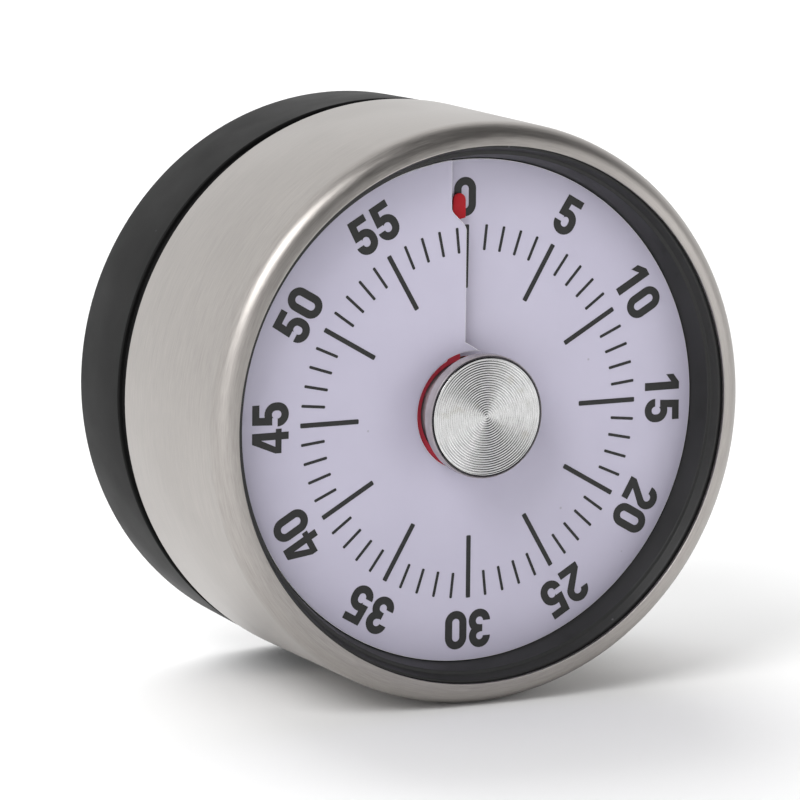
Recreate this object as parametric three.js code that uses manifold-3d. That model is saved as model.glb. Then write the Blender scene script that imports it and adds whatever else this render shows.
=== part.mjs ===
// Sixty-minute mechanical kitchen timer: a steel drum with a white dial, a clear knob, a red
// sector disc that winds out through a slit in the dial, and a spring-driven movement with a
// bell behind it. Millimetres. The finished part has its rear magnet face on Y = 0, its axis
// along Y with the dial towards -Y, and the dial's zero mark at +Z.
//
// Everything is built in clock axes first: X right and Y up as the dial is read, Z towards the
// reader, with the magnet face on Z = 0. The last lines turn the group into the part's frame.

import * as THREE from 'three';
import { mergeVertices } from 'three/addons/utils/BufferGeometryUtils.js';
import Module from 'manifold-3d';

const wasm = await Module();
wasm.setup();

// ---- Driving dimensions -------------------------------------------------------------------

const CASE_RADIUS = 40;        // outside of the steel shell
const CASE_DEPTH = 49.6;       // magnet face to the shell's front lip
const SHELL_SHEET = 0.6;
const SHELL_CORNER = 3.1;      // rounded front corner of the shell
const SEAM_Z = 18.6;           // rear edge of the steel shell
const GROOVE_WIDTH = 1.6;      // shadow groove between the steel edge and the rear cover
const WALL = 1.7;              // moulded plastic walls
const GAP = 0.3;               // between pieces that rest on each other
const RUN = 0.15;              // running clearance around arbors

const DIAL_Z = 44.2;           // mean height of the dial face
const DIAL_RADIUS = 34.2;
const DIAL_HOLE = 8.2;
const SHEET = 0.35;            // thickness of the dial and of the red disc
const PITCH = 1.7;             // rise of the dial sheet over one turn, the step at its slit
const DISC_RADIUS = 33.6;
const DISC_HOLE = 7.4;

const KNOB_RADIUS = 8.5;
const KNOB_STEM = 7.05;
const KNOB_TOP = 49.4;
const CAP_RADIUS = 8.05;
const ARBOR_RADIUS = 2;

const SCREW_CIRCLE = 33.5;     // case screws
const SCREW_ANGLES = [90, 210, 330];
const PLATE_RADIUS = 27;
const PLATE = 1.2;
const FRONT_PLATE_Z = 36.5;    // rear face of the front plate
const REAR_PLATE_Z = 22.8;     // rear face of the rear plate
const PILLAR_CIRCLE = 25.2;
const PILLAR_ANGLES = [95, 200, 310];

// The going train: each wheel drives the next arbor's pinion.
const MAIN = { teeth: 64, module: 0.45, z: 32.9 };
const SECOND = { teeth: 56, module: 9.6 / 28, pinion: 8, at: [16.2, 0], z: 31.3 };
const THIRD = { teeth: 45, module: 1 / 3, pinion: 7, at: [18.113, 10.629], z: 28.6 };
const ESCAPE = { teeth: 16, radius: 5, pinion: 6, at: [13.226, 17.583], z: 26.4 };
const PALLET_AT = [6.95, 22.15];
const HAMMER_AT = [23.3, -9];
const WHEEL = 0.8;             // thickness of the thin wheels
const SPINDLE = 0.6;           // radius of the train arbors between the plates
const PIVOT = 0.45;            // radius of their ends in the plates

const BELL = { radius: 22, front: 19.5, rear: 9.4, sheet: 1, bore: 2.1 };

// ---- Materials ----------------------------------------------------------------------------

const paint = (color, roughness, metalness) =>
  new THREE.MeshStandardMaterial({ color, roughness, metalness });
const STEEL = paint(0xb9b4ac, 0.35, 1);
const BRASS = paint(0xb8964e, 0.35, 1);
const ALUMINIUM = paint(0xd4d4d2, 0.3, 1);
const BLACK = paint(0x29292a, 0.6, 0);
const WHITE = paint(0xdcd9e2, 0.6, 0);
const RED = paint(0xb01c26, 0.55, 0);
const CLEAR = paint(0xd9d9dc, 0.15, 0);
const FERRITE = paint(0x3b3a3c, 0.7, 0);

// ---- Helpers ------------------------------------------------------------------------------

const clock = new THREE.Group();
const radians = THREE.MathUtils.degToRad;
const polar = (radius, degrees) => [
  radius * Math.cos(radians(degrees)),
  radius * Math.sin(radians(degrees)),
];

function add(name, geometry, material, [x, y, z] = [0, 0, 0], turn = 0) {
  const mesh = new THREE.Mesh(geometry, material);
  mesh.name = name;
  mesh.position.set(x, y, z);
  mesh.rotation.z = turn;
  clock.add(mesh);
  return mesh;
}

// A solid of revolution about Z from [radius, z] points.
function turned(points, segments = 48) {
  const profile = points.map(([r, z]) => new THREE.Vector2(r, z));
  return new THREE.LatheGeometry(profile, segments).rotateX(Math.PI / 2);
}

// The same, for a profile that goes round a bore and closes on itself.
const turnedRing = (points, segments) => turned([...points, points[0]], segments);

// A rod, or with a bore a tube, between two heights.
function rod(radius, from, to, bore = 0, segments = 16) {
  if (bore > 0) {
    return turnedRing([[bore, from], [radius, from], [radius, to], [bore, to]], segments);
  }
  return turned([[0, from], [radius, from], [radius, to], [0, to]], segments);
}

function circlePath(x, y, radius) {
  return new THREE.Path().absarc(x, y, radius, 0, 2 * Math.PI, true);
}

// A flat plate cut to an outline, with round holes given as [x, y, radius].
function plate(outline, thickness, holes = [], curveSegments = 6) {
  const shape = outline.clone();
  shape.holes = holes.map(([x, y, radius]) => circlePath(x, y, radius));
  return new THREE.ExtrudeGeometry(shape, {
    depth: thickness, bevelEnabled: false, curveSegments,
  });
}

function disc(radius, sides = 32) {
  const points = [];
  for (let i = 0; i < sides; i += 1) {
    points.push(new THREE.Vector2(...polar(radius, i * 360 / sides)));
  }
  return new THREE.Shape(points);
}

// A flat lever: the straight-sided outline around two round ends.
function leverShape([x, y], rootRadius, tipRadius) {
  const angle = Math.atan2(y, x);
  const shape = new THREE.Shape();
  shape.absarc(0, 0, rootRadius, angle + Math.PI / 2, angle - Math.PI / 2, false);
  shape.absarc(x, y, tipRadius, angle - Math.PI / 2, angle + Math.PI / 2, false);
  return shape;
}

// Turn a sawtooth or a trapezoid repeated round a circle into a shape.
// Each step is [fraction of one tooth pitch, radius].
function toothedShape(teeth, steps) {
  const pitch = 2 * Math.PI / teeth;
  const points = [];
  for (let tooth = 0; tooth < teeth; tooth += 1) {
    for (const [fraction, radius] of steps) {
      const angle = (tooth + fraction) * pitch;
      points.push(new THREE.Vector2(radius * Math.cos(angle), radius * Math.sin(angle)));
    }
  }
  return new THREE.Shape(points);
}

// A spur gear with slim straight-flanked teeth, one of them centred on +X. A pinion's few
// leaves are slimmer still, so that they roll through the wheel's teeth without touching.
function gearShape(teeth, module) {
  const pitchRadius = teeth * module / 2;
  const root = pitchRadius - 1.1 * module;
  const tip = pitchRadius + 0.8 * module;
  const foot = teeth < 12 ? 0.18 : 0.28;
  return toothedShape(teeth, [[-foot, root], [-0.08, tip], [0.08, tip], [foot, root]]);
}

function toSolid(geometry) {
  const bare = geometry.clone();
  bare.deleteAttribute('normal');
  bare.deleteAttribute('uv');
  const merged = mergeVertices(bare, 1e-4);
  return new wasm.Manifold(new wasm.Mesh({
    numProp: 3,
    vertProperties: new Float32Array(merged.attributes.position.array),
    triVerts: new Uint32Array(merged.index.array),
  }));
}

function toGeometry(solid) {
  const mesh = solid.getMesh();
  const geometry = new THREE.BufferGeometry();
  geometry.setAttribute('position', new THREE.BufferAttribute(mesh.vertProperties, 3));
  geometry.setIndex(new THREE.BufferAttribute(mesh.triVerts, 1));
  geometry.computeVertexNormals();
  return geometry;
}

// Join some geometries and cut others away.
function combine(joined, removed = []) {
  let solid = joined.map(toSolid).reduce((sum, next) => sum.add(next));
  for (const cutter of removed) {
    solid = solid.subtract(toSolid(cutter));
  }
  return toGeometry(solid);
}

const movedTo = (geometry, [x, y], z = 0) => geometry.translate(x, y, z);

// ---- Dial and red disc --------------------------------------------------------------------

// A sheet wound once round the axis like one turn of a screw, so that its two edges pass each
// other at the slit. Each row is [radius, x of the slit edge there]; height is measured at the
// twelve o'clock line, and the sheet runs clockwise from it.
function woundSheet(rows, height, steps = 32) {
  const box = new THREE.BoxGeometry(1, 1, 1, rows.length - 1, steps, 1);
  const position = box.attributes.position;
  for (let i = 0; i < position.count; i += 1) {
    const [radius, edge] = rows[Math.round((position.getX(i) + 0.5) * (rows.length - 1))];
    const turn = Math.asin(edge / radius) + (position.getY(i) + 0.5) * 2 * Math.PI;
    const z = height + PITCH * turn / (2 * Math.PI) - position.getZ(i) * SHEET;
    position.setXYZ(i, radius * Math.sin(turn), radius * Math.cos(turn), z);
  }
  box.computeVertexNormals();
  return box;
}

const SLIT = [
  [DIAL_HOLE, 1.18], [9.8, -1.2], [25.3, -1.15], [28.4, -3.45], [DIAL_RADIUS, -3.45],
];
add('dial_plate', woundSheet(SLIT, DIAL_Z - PITCH / 2), WHITE);

// The disc's leading edge stays under the dial but for one small tab that marks zero.
const DISC_EDGE = [
  [DISC_HOLE, -1.5], [26.4, -1.5], [26.6, -0.95], [29.6, -0.95], [30, -4.2],
  [DISC_RADIUS, -4.2],
];
add('red_disc', woundSheet(DISC_EDGE, DIAL_Z - PITCH), RED);

// ---- Case ---------------------------------------------------------------------------------

// Points on a quarter circle that bulges outwards, from its outer side to its front.
function corner(centreRadius, centreZ, radius, steps = 3) {
  const points = [];
  for (let i = 0; i <= steps; i += 1) {
    const angle = i / steps * Math.PI / 2;
    points.push([centreRadius + radius * Math.cos(angle), centreZ + radius * Math.sin(angle)]);
  }
  return points;
}

const CASE_SEGMENTS = 48;
const CORNER_RADIUS = CASE_RADIUS - SHELL_CORNER;
const CORNER_Z = CASE_DEPTH - SHELL_CORNER;
add('steel_shell', turnedRing([
  [CASE_RADIUS - SHELL_SHEET, SEAM_Z],
  [CASE_RADIUS, SEAM_Z],
  ...corner(CORNER_RADIUS, CORNER_Z, SHELL_CORNER),
  ...corner(CORNER_RADIUS, CORNER_Z, SHELL_CORNER - SHELL_SHEET).reverse(),
], CASE_SEGMENTS), STEEL);

const INNER_RADIUS = CASE_RADIUS - SHELL_SHEET - GAP;   // plastic inside the shell
const FLOOR_Z = FRONT_PLATE_Z + PLATE + GAP;            // rear face of the surround's floor
const FLOOR = 1.6;
const SKIRT_Z = 26.5;
const BOSS_END = 24.5;

// One-piece black moulding: the sloping ring round the dial, the skirt inside the shell, the
// floor that carries the movement and the three bosses for the case screws.
const screwPlaces = SCREW_ANGLES.map((angle) => polar(SCREW_CIRCLE, angle));
const pillarPlaces = PILLAR_ANGLES.map((angle) => polar(PILLAR_CIRCLE, angle));
const surround = turnedRing([
  [22.5, FLOOR_Z], [INNER_RADIUS - WALL, FLOOR_Z], [INNER_RADIUS - WALL, SKIRT_Z],
  [INNER_RADIUS, SKIRT_Z], [INNER_RADIUS, CORNER_Z], [38, 48.4], [36.5, 48.6],
  [35.9, 47.4], [35.5, 47.4], [34.6, 43.4], [34.6, FLOOR_Z + FLOOR], [22.5, FLOOR_Z + FLOOR],
], CASE_SEGMENTS);
add('dial_surround', combine(
  [surround, ...screwPlaces.map((at) => movedTo(rod(3, BOSS_END, FLOOR_Z + 0.5), at))],
  [
    ...screwPlaces.map((at) => movedTo(rod(1.55, BOSS_END - 1, FLOOR_Z - 1, 0, 12), at)),
    ...pillarPlaces.map((at) => movedTo(rod(1.3, FLOOR_Z - 1, FLOOR_Z + 3, 0, 12), at)),
  ],
), BLACK);

// Rear cover: an open cup whose spigot enters the steel shell, with a pocket for the magnet,
// recessed tubes for the case screws and two rows of slots that let the bell sound out.
const COVER_Z = 0.5;
const COVER_FLOOR = 2.7;
const POCKET_RADIUS = 12.8;
const POCKET_DEPTH = 4.8;
const SPIGOT_END = 24;
const SHOULDER_Z = SEAM_Z - GROOVE_WIDTH;
const HEAD_SEAT = 14;
const cover = turned([
  [0, POCKET_DEPTH], [POCKET_RADIUS, POCKET_DEPTH], [POCKET_RADIUS, COVER_Z],
  [38.2, COVER_Z], [39, 0.9], [39.4, 1.8], [39.8, SHOULDER_Z], [INNER_RADIUS, SHOULDER_Z],
  [INNER_RADIUS, SPIGOT_END], [INNER_RADIUS - WALL, SPIGOT_END],
  [INNER_RADIUS - WALL, COVER_FLOOR], [POCKET_RADIUS + WALL, COVER_FLOOR],
  [POCKET_RADIUS + WALL, POCKET_DEPTH + WALL], [0, POCKET_DEPTH + WALL],
], CASE_SEGMENTS);

function soundSlot(angle) {
  const slot = new THREE.Shape();
  slot.absarc(0, 0, 26.5, radians(angle - 6), radians(angle + 6), false);
  slot.absarc(0, 0, 19.5, radians(angle + 4), radians(angle - 4), true);
  return plate(slot, 4, [], 2).translate(0, 0, -0.5);
}

const soundSlots = [];
for (let group = 0; group < 3; group += 1) {
  for (const offset of [-24, 0, 24]) {
    soundSlots.push(soundSlot(30 + group * 120 + offset));
  }
}
add('rear_cover', combine(
  [cover, ...screwPlaces.map((at) => movedTo(rod(4.2, COVER_Z + 0.2, SPIGOT_END + 0.2), at))],
  [
    ...screwPlaces.map((at) => movedTo(rod(3, -1, HEAD_SEAT), at)),
    ...screwPlaces.map((at) => movedTo(rod(1.6, HEAD_SEAT - 1, SPIGOT_END + 1, 0, 12), at)),
    ...soundSlots,
  ],
), BLACK);

// Magnet in a pressed steel cup that gathers its field, both flush enough to hold on steel.
add('magnet_cup', turned([
  [0, 3.8], [10.9, 3.8], [10.9, 0.15], [12.3, 0.15], [12.3, 4.5], [0, 4.5],
], 32), STEEL);
add('magnet', rod(10.6, 0, 3.5, 0, 32), FERRITE);

// Pan-head screws, pointing along +Z from under the head.
function screw(headRadius, head, shankRadius, length) {
  return turned([
    [0, -head], [headRadius, -head], [headRadius, 0], [shankRadius, 0],
    [shankRadius, length], [0, length],
  ], 10);
}

screwPlaces.forEach(([x, y], i) => {
  add(`case_screw_${i + 1}`, screw(2.6, 1.8, 1.25, 20), STEEL, [x, y, HEAD_SEAT - GAP]);
});

// ---- Movement frame -----------------------------------------------------------------------

const trainPlaces = [SECOND.at, THIRD.at, ESCAPE.at, PALLET_AT, HAMMER_AT];
const plateHoles = [
  [0, 0, ARBOR_RADIUS + RUN],
  ...trainPlaces.slice(0, 4).map(([x, y]) => [x, y, PIVOT + RUN]),
  [...HAMMER_AT, 1 + RUN],
  ...pillarPlaces.map(([x, y]) => [x, y, 1.3]),
];
const frontPlateWindow = [-12, 9, 4.5];
add('front_plate', plate(disc(PLATE_RADIUS), PLATE, [...plateHoles, frontPlateWindow]),
  STEEL, [0, 0, FRONT_PLATE_Z]);
add('rear_plate', plate(disc(PLATE_RADIUS), PLATE, plateHoles),
  STEEL, [0, 0, REAR_PLATE_Z]);

const PILLAR_FROM = REAR_PLATE_Z + PLATE + GAP;
const PILLAR_TO = FRONT_PLATE_Z - GAP;
pillarPlaces.forEach(([x, y], i) => {
  add(`pillar_${i + 1}`, rod(2.2, PILLAR_FROM, PILLAR_TO, 1.3, 12), STEEL, [x, y, 0]);
  add(`rear_plate_screw_${i + 1}`, screw(2, 1.1, 1, 5), STEEL, [x, y, REAR_PLATE_Z - GAP]);
  const front = add(`movement_screw_${i + 1}`, screw(2, 1.3, 1, 8), STEEL,
    [x, y, FLOOR_Z + FLOOR + GAP]);
  front.rotation.x = Math.PI;
});

// ---- Knob, main arbor and red disc drive --------------------------------------------------

add('knob', turnedRing([
  [ARBOR_RADIUS + RUN, 41.9], [KNOB_STEM, 41.9], [KNOB_STEM, 46.5], [KNOB_RADIUS - 0.4, 47.2],
  [KNOB_RADIUS, 47.7], [KNOB_RADIUS, KNOB_TOP],
  [CAP_RADIUS + 0.15, KNOB_TOP], [CAP_RADIUS + 0.15, KNOB_TOP - 0.9],
  [ARBOR_RADIUS + RUN, KNOB_TOP - 0.9],
], 36), CLEAR);
add('knob_cap', turned([
  [0, KNOB_TOP - 0.6], [CAP_RADIUS, KNOB_TOP - 0.6], [CAP_RADIUS, KNOB_TOP + 0.1],
  [0, KNOB_TOP + 0.1],
], 36), ALUMINIUM);

// The knob's arbor runs back through both plates of the movement.
add('main_arbor', rod(ARBOR_RADIUS, REAR_PLATE_Z + 0.2, KNOB_TOP - 1.4, 0, 20), STEEL);
add('disc_hub', turnedRing([
  [ARBOR_RADIUS + RUN, 38.3], [4, 38.3], [4, 40.4], [9, 40.4], [9, 41.4],
  [ARBOR_RADIUS + RUN, 41.4],
], 20), BRASS);

// ---- Going train --------------------------------------------------------------------------

const direction = ([x0, y0], [x1, y1]) => Math.atan2(y1 - y0, x1 - x0);

// A thin wheel on its arbor, turned so that a tooth points at the next pinion.
function wheel(name, { teeth, module, z }, at, next, bore, thickness = WHEEL) {
  add(name, plate(gearShape(teeth, module), thickness, [[0, 0, bore]]), BRASS,
    [...at, z], direction(at, next));
}

const PIVOTS_FROM = REAR_PLATE_Z + 0.1;
const PIVOTS_TO = FRONT_PLATE_Z + PLATE - 0.1;

// An arbor cut in one piece with its pinion, which has a gap facing the wheel that drives it.
function pinionArbor(name, teeth, module, at, driver, z) {
  const shaft = turned([
    [0, PIVOTS_FROM], [PIVOT, PIVOTS_FROM], [PIVOT, PILLAR_FROM], [SPINDLE, PILLAR_FROM],
    [SPINDLE, PILLAR_TO], [PIVOT, PILLAR_TO], [PIVOT, PIVOTS_TO], [0, PIVOTS_TO],
  ], 12);
  const leaves = plate(gearShape(teeth, module), 1.6).translate(0, 0, z);
  const turn = direction(at, driver) + Math.PI / teeth;
  add(name, combine([shaft, leaves.rotateZ(turn)]), STEEL, [...at, 0]);
}

const CENTRE = [0, 0];
const ARBOR_BORE = SPINDLE + RUN;
wheel('main_wheel', MAIN, CENTRE, SECOND.at, ARBOR_RADIUS + RUN, 1);
pinionArbor('second_arbor', SECOND.pinion, MAIN.module, SECOND.at, CENTRE, MAIN.z - 0.3);
wheel('second_wheel', SECOND, SECOND.at, THIRD.at, ARBOR_BORE);
pinionArbor('third_arbor', THIRD.pinion, SECOND.module, THIRD.at, SECOND.at, SECOND.z - 0.4);
wheel('third_wheel', THIRD, THIRD.at, ESCAPE.at, ARBOR_BORE);
pinionArbor('escape_arbor', ESCAPE.pinion, THIRD.module, ESCAPE.at, THIRD.at, THIRD.z - 0.4);

const escapeShape = toothedShape(ESCAPE.teeth, [[0, ESCAPE.radius], [0.25, 3.9], [0.85, 3.7]]);
add('escape_wheel', plate(escapeShape, WHEEL, [[0, 0, ARBOR_BORE]], 5), BRASS,
  [...ESCAPE.at, ESCAPE.z]);

// Pallet lever: a rocking anchor with two pallet pins astride the escape wheel, and a weighted
// tail that sets its beat.
const PALLET_Z = 25;
const toEscape = direction(PALLET_AT, ESCAPE.at);
const escapeDistance = Math.hypot(ESCAPE.at[0] - PALLET_AT[0], ESCAPE.at[1] - PALLET_AT[1]);
const PIN_CIRCLE = ESCAPE.radius + 0.65;
const PALLET_SPREAD = radians(42);
const palletPins = [-1, 1].map((side) => [
  escapeDistance - PIN_CIRCLE * Math.cos(PALLET_SPREAD),
  side * PIN_CIRCLE * Math.sin(PALLET_SPREAD),
]);
const arms = palletPins.map((tip) => plate(leverShape(tip, 1.7, 0.8), WHEEL, [], 4));
const tail = plate(leverShape([-4.6, 0], 1.7, 1.4), WHEEL, [], 4);
const palletBore = rod(ARBOR_BORE, -1, 2, 0, 12);
add('pallet_lever', combine([...arms, tail], [palletBore]), STEEL,
  [...PALLET_AT, PALLET_Z], toEscape);
palletPins.forEach(([x, y], i) => {
  const angle = toEscape + Math.atan2(y, x);
  const reach = Math.hypot(x, y);
  const at = [PALLET_AT[0] + reach * Math.cos(angle), PALLET_AT[1] + reach * Math.sin(angle)];
  add(`pallet_pin_${i + 1}`, rod(0.35, PALLET_Z + WHEEL + 0.1, ESCAPE.z + WHEEL, 0, 10), STEEL,
    [...at, 0]);
});

function plainArbor(name, radius, at, from, to) {
  add(name, rod(radius, from, to, 0, 12), STEEL, [...at, 0]);
}

plainArbor('pallet_arbor', PIVOT, PALLET_AT, PIVOTS_FROM, PIVOTS_TO);

// ---- Mainspring, ratchet and click --------------------------------------------------------

const SPRING_TURNS = 3.25;
const SPRING_INNER = 2.9;
const SPRING_STEP = 2.1;       // radial distance from coil to coil
const springPoints = [];
for (let i = 0; i <= SPRING_TURNS * 14; i += 1) {
  const angle = i / 14 * 2 * Math.PI;
  const radius = SPRING_INNER + SPRING_STEP * angle / (2 * Math.PI);
  springPoints.push([radius, angle]);
}
// Outline of the coiled strip: out along its outer face and back along its inner face.
const spiralAt = (side) => springPoints.map(([radius, angle]) => new THREE.Vector2(
  (radius + side * 0.25) * Math.cos(angle),
  (radius + side * 0.25) * Math.sin(angle),
));
const spring = new THREE.Shape([...spiralAt(1), ...spiralAt(-1).reverse()]);
add('mainspring', plate(spring, 5.2), STEEL, [0, 0, 25.4]);

const RATCHET_Z = MAIN.z + 1 + GAP;
const ratchetShape = toothedShape(24, [[0, 5.5], [0.15, 4.8]]);
add('ratchet_wheel', plate(ratchetShape, WHEEL, [[0, 0, ARBOR_RADIUS + RUN]], 6), STEEL,
  [0, 0, RATCHET_Z]);

const CLICK_AT = [-8.6, 2.4];
const CLICK_TIP = [2.7, -3.4];
add('click', combine(
  [plate(leverShape(CLICK_TIP, 1.5, 0.5), WHEEL, [], 4)], [rod(0.7 + RUN, -1, 2, 0, 12)],
), STEEL, [...CLICK_AT, RATCHET_Z]);
add('click_stud', rod(0.7, RATCHET_Z - 0.1, RATCHET_Z + WHEEL, 0, 12), BRASS,
  [...CLICK_AT, 0]);

// ---- Strike work and bell -----------------------------------------------------------------

const CAM_Z = RATCHET_Z + WHEEL + GAP;
const camShape = new THREE.Shape();
camShape.absarc(0, 0, 6, radians(-12), radians(-52), false);
camShape.lineTo(...polar(4.6, -47));
camShape.lineTo(...polar(4.6, -17));
add('strike_cam', plate(camShape, 0.6, [[0, 0, ARBOR_RADIUS + RUN]], 10), STEEL,
  [0, 0, CAM_Z]);

const STAR_Z = PALLET_Z + 0.1;
const starShape = toothedShape(6, [[0, 2.6], [0.5, 1.5]]);
add('strike_star', plate(starShape, WHEEL, [[0, 0, ARBOR_BORE]], 5), BRASS,
  [...THIRD.at, STAR_Z]);

// The hammer: one arbor with an arm reaching the cam, a tail reaching the star and, behind the
// rear plate, a lever carrying the head inside the bell.
const LEVER_Z = REAR_PLATE_Z - 1.5;
const HEAD_AT = [18, -2.4];
const fromHammer = ([x, y]) => [x - HAMMER_AT[0], y - HAMMER_AT[1]];
const armBore = () => rod(1 + RUN, -1, 3, 0, 12);
const lever = (target, tip) => combine(
  [plate(leverShape(fromHammer(target), 2, tip), WHEEL, [], 4)], [armBore()],
);
plainArbor('hammer_arbor', 1, HAMMER_AT, LEVER_Z - 0.2, PIVOTS_TO);
add('hammer_tail', lever([19.7, 6.9], 0.6), STEEL, [...HAMMER_AT, STAR_Z]);
add('strike_arm', lever(polar(7.4, -32), 0.6), STEEL, [...HAMMER_AT, CAM_Z - 0.1]);
add('hammer_lever', lever(HEAD_AT, 1.4), STEEL, [...HAMMER_AT, LEVER_Z]);
add('hammer_head', rod(1.4, 15.4, LEVER_Z - 0.2, 0, 14), BRASS, [...HEAD_AT, 0]);

add('bell', turnedRing([
  [BELL.bore, BELL.rear], [15, BELL.rear], [19.4, BELL.rear + 1.8], [21.4, BELL.rear + 5],
  [BELL.radius, BELL.front], [BELL.radius - BELL.sheet, BELL.front],
  [20.4, BELL.rear + 5.4], [18.7, BELL.rear + 2.7], [14.7, BELL.rear + BELL.sheet],
  [BELL.bore, BELL.rear + BELL.sheet],
], 32), STEEL);
const POST_Z = BELL.rear + BELL.sheet + GAP;
add('bell_post', combine(
  [turned([
    [0, POST_Z], [3, POST_Z], [3, 20.6], [5, 20.6], [5, REAR_PLATE_Z - GAP],
    [0, REAR_PLATE_Z - GAP],
  ], 16)],
  [rod(1.6, POST_Z - 1, 17, 0, 12)],
), STEEL);
add('bell_screw', screw(3, 1.2, 1.3, 6), STEEL, [0, 0, BELL.rear - GAP]);

// Hammer spring: a blade from the nearest pillar to the hub of the hammer's tail.
const springRoot = pillarPlaces[2];
const bladeTurn = direction(springRoot, HAMMER_AT);
const bladeMiddle = springRoot.map((value, axis) => (value + HAMMER_AT[axis]) / 2);
add('hammer_spring', new THREE.BoxGeometry(7.4, 0.4, 2), STEEL,
  [...bladeMiddle, STAR_Z + WHEEL / 2], bladeTurn);

// ---- Turn the clock axes into the part's frame --------------------------------------------

clock.rotation.x = Math.PI / 2;
export default clock;
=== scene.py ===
"""A sixty-minute clockwork kitchen timer: the looks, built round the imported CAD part.

The drum's axis is the frame's Y with the dial towards -Y, and the dial's zero is at +Z. Round
pieces are described in "clock axes", in millimetres: x to the right and y up as the dial is
read, z towards the reader, with the rear magnet's face on z = 0.
"""
import math

import bmesh
import bpy
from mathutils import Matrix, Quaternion, Vector
from mathutils.geometry import tessellate_polygon


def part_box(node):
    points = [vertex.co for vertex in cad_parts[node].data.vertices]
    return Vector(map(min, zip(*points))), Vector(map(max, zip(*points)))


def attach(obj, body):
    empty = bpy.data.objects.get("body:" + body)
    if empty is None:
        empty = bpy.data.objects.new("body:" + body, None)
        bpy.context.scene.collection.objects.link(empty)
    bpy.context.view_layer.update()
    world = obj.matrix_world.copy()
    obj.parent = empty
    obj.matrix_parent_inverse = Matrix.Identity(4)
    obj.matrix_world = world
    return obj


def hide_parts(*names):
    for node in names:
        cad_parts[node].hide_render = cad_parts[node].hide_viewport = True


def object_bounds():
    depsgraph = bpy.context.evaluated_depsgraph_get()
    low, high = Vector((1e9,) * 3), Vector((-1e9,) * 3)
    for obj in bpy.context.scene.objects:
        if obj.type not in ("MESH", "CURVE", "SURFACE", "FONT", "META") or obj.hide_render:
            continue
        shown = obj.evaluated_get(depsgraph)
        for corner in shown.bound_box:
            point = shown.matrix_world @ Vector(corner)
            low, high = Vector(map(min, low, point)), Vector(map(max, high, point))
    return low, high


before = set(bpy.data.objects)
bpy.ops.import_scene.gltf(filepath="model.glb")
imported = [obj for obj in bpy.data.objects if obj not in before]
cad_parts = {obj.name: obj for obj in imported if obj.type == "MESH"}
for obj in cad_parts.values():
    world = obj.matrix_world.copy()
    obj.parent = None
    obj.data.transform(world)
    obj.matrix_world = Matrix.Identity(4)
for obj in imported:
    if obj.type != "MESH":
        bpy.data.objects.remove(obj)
cad_low, cad_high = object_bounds()

MM = 0.001
TURN = 2 * math.pi


def span(node):
    """Radius, rear height and front height of a round CAD node, in clock millimetres."""
    low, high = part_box(node)
    return (high.x - low.x) / 2 / MM, -high.y / MM, -low.y / MM


def to_frame(x, y, z):
    """A point in clock millimetres as a point of the frame, in metres."""
    return Vector((x, -z, y)) * MM


# ---- Sizes taken from the frame ------------------------------------------------------------

CASE_R, SEAM_Z, FRONT_Z = span("steel_shell")
COVER_R, COVER_Z, SPIGOT_END = span("rear_cover")
INNER_R, SKIRT_Z, _ = span("dial_surround")
DISC_R, _, _ = span("red_disc")
KNOB_R, KNOB_Z, KNOB_TOP = span("knob")
CAP_R, CAP_Z, CAP_TOP = span("knob_cap")
MAGNET_R, _, MAGNET_TOP = span("magnet")
CUP_R, CUP_Z, CUP_TOP = span("magnet_cup")
BELL_R, BELL_Z, BELL_RIM = span("bell")

SHEET = 0.35                        # thickness of the dial and of the red disc
PITCH = 1.7                         # the sheets' rise over one turn
SHELL_SHEET = 0.6
SHELL_CORNER = 3.1


# ---- Node materials ------------------------------------------------------------------------

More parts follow.
